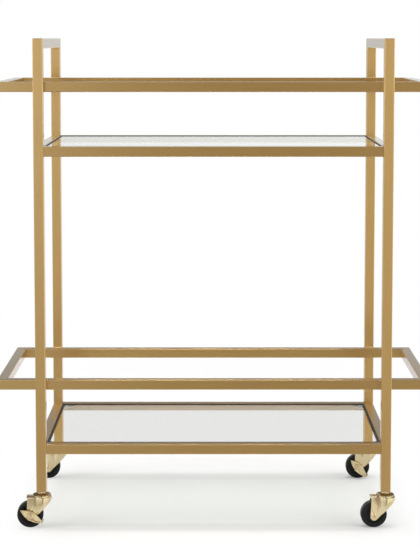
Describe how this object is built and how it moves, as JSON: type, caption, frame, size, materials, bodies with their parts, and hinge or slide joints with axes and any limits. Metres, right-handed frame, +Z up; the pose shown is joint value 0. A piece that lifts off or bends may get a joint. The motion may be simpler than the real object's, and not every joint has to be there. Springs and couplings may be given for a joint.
{
  "type": "bar cart",
  "caption": "Open bar cart with a square-tube frame, two glass shelves inside rail loops that extend as end handles, and swivel casters, some with a side brake.",
  "frame": {"origin": "on the floor, under the middle of the cart", "axes": "+X along the cart's length, +Y from its front to its back, +Z up"},
  "size_m": [0.822, 0.3913, 0.926],
  "materials": {
    "brushed_gold_tube": "brushed brass-tone plating under clear lacquer, satin",
    "tempered_glass": "clear, polished, ground edges",
    "clear_silicone": "clear, soft",
    "bright_brass_plating": "bright brass-tone zinc plating",
    "black_rubber": "moulded, semi-gloss",
    "black_nylon": "moulded, matte",
    "plain_steel": "turned"
  },
  "bodies": {
    "frame": {"front_left_post": "brushed_gold_tube", "back_left_post": "brushed_gold_tube", "front_right_post": "brushed_gold_tube", "back_right_post": "brushed_gold_tube", "left_top_bar": "brushed_gold_tube", "right_top_bar": "brushed_gold_tube", "upper_rail_front": "brushed_gold_tube", "upper_rail_back": "brushed_gold_tube", "upper_rail_left_end": "brushed_gold_tube", "upper_rail_right_end": "brushed_gold_tube", "lower_rail_front": "brushed_gold_tube", "lower_rail_back": "brushed_gold_tube", "lower_rail_left_end": "brushed_gold_tube", "lower_rail_right_end": "brushed_gold_tube", "upper_shelf_front_tube": "brushed_gold_tube", "upper_shelf_back_tube": "brushed_gold_tube", "upper_shelf_left_tube": "brushed_gold_tube", "upper_shelf_right_tube": "brushed_gold_tube", "lower_shelf_front_tube": "brushed_gold_tube", "lower_shelf_back_tube": "brushed_gold_tube", "lower_shelf_left_tube": "brushed_gold_tube", "lower_shelf_right_tube": "brushed_gold_tube", "upper_shelf_glass": "tempered_glass", "lower_shelf_glass": "tempered_glass", "upper_glass_tabs": "brushed_gold_tube", "lower_glass_tabs": "brushed_gold_tube", "upper_glass_pads": "clear_silicone", "lower_glass_pads": "clear_silicone", "upper_glass_seal": "black_rubber", "lower_glass_seal": "black_rubber", "post_inserts": "brushed_gold_tube", "caster_stems": "bright_brass_plating"},
    "front_left_swivel": {"front_left_caster_fork": "bright_brass_plating", "front_left_caster_axle": "bright_brass_plating", "front_left_axle_nut": "bright_brass_plating"},
    "front_left_wheel": {"front_left_wheel_tread": "black_rubber", "front_left_wheel_core": "black_nylon", "front_left_wheel_bush": "plain_steel"},
    "front_left_brake": {"front_left_brake_lever": "bright_brass_plating"},
    "front_right_swivel": {"front_right_caster_fork": "bright_brass_plating", "front_right_caster_axle": "bright_brass_plating"},
    "front_right_wheel": {"front_right_wheel_tread": "black_rubber", "front_right_wheel_core": "black_nylon", "front_right_wheel_bush": "plain_steel"},
    "back_left_swivel": {"back_left_caster_fork": "bright_brass_plating", "back_left_caster_axle": "bright_brass_plating"},
    "back_left_wheel": {"back_left_wheel_tread": "black_rubber", "back_left_wheel_core": "black_nylon", "back_left_wheel_bush": "plain_steel"},
    "back_right_swivel": {"back_right_caster_fork": "bright_brass_plating", "back_right_caster_axle": "bright_brass_plating", "back_right_axle_nut": "bright_brass_plating"},
    "back_right_wheel": {"back_right_wheel_tread": "black_rubber", "back_right_wheel_core": "black_nylon", "back_right_wheel_bush": "plain_steel"},
    "back_right_brake": {"back_right_brake_lever": "bright_brass_plating"}
  },
  "joints": [
    {"name": "front_left_swivel_turn", "type": "hinge", "parent": "frame", "child": "front_left_swivel", "pos_m": [-0.3265, -0.1755, 0.059], "axis": [0, 0, 1], "continuous": true},
    {"name": "front_left_wheel_spin", "type": "hinge", "parent": "front_left_swivel", "child": "front_left_wheel", "pos_m": [-0.34845, -0.17703, 0.025], "axis": [-0.0698, 0.9976, 0], "continuous": true},
    {"name": "front_left_brake_tilt", "type": "hinge", "parent": "front_left_swivel", "child": "front_left_brake", "pos_m": [-0.34845, -0.17703, 0.025], "axis": [-0.0698, 0.9976, 0], "range_deg": [0, 18]},
    {"name": "front_right_swivel_turn", "type": "hinge", "parent": "frame", "child": "front_right_swivel", "pos_m": [0.3265, -0.1755, 0.059], "axis": [0, 0, 1], "continuous": true},
    {"name": "front_right_wheel_spin", "type": "hinge", "parent": "front_right_swivel", "child": "front_right_wheel", "pos_m": [0.3045, -0.17588, 0.025], "axis": [-0.0175, 0.9998, 0], "continuous": true},
    {"name": "back_left_swivel_turn", "type": "hinge", "parent": "frame", "child": "back_left_swivel", "pos_m": [-0.3265, 0.1755, 0.059], "axis": [0, 0, 1], "continuous": true},
    {"name": "back_left_wheel_spin", "type": "hinge", "parent": "back_left_swivel", "child": "back_left_wheel", "pos_m": [-0.34849, 0.17473, 0.025], "axis": [-0.0349, 0.9994, 0], "continuous": true},
    {"name": "back_right_swivel_turn", "type": "hinge", "parent": "frame", "child": "back_right_swivel", "pos_m": [0.3265, 0.1755, 0.059], "axis": [0, 0, 1], "continuous": true},
    {"name": "back_right_wheel_spin", "type": "hinge", "parent": "back_right_swivel", "child": "back_right_wheel", "pos_m": [0.3045, 0.17588, 0.025], "axis": [0.0175, 0.9998, 0], "continuous": true},
    {"name": "back_right_brake_tilt", "type": "hinge", "parent": "back_right_swivel", "child": "back_right_brake", "pos_m": [0.3045, 0.17588, 0.025], "axis": [0.0175, 0.9998, 0], "range_deg": [-18, 0]}
  ]
}
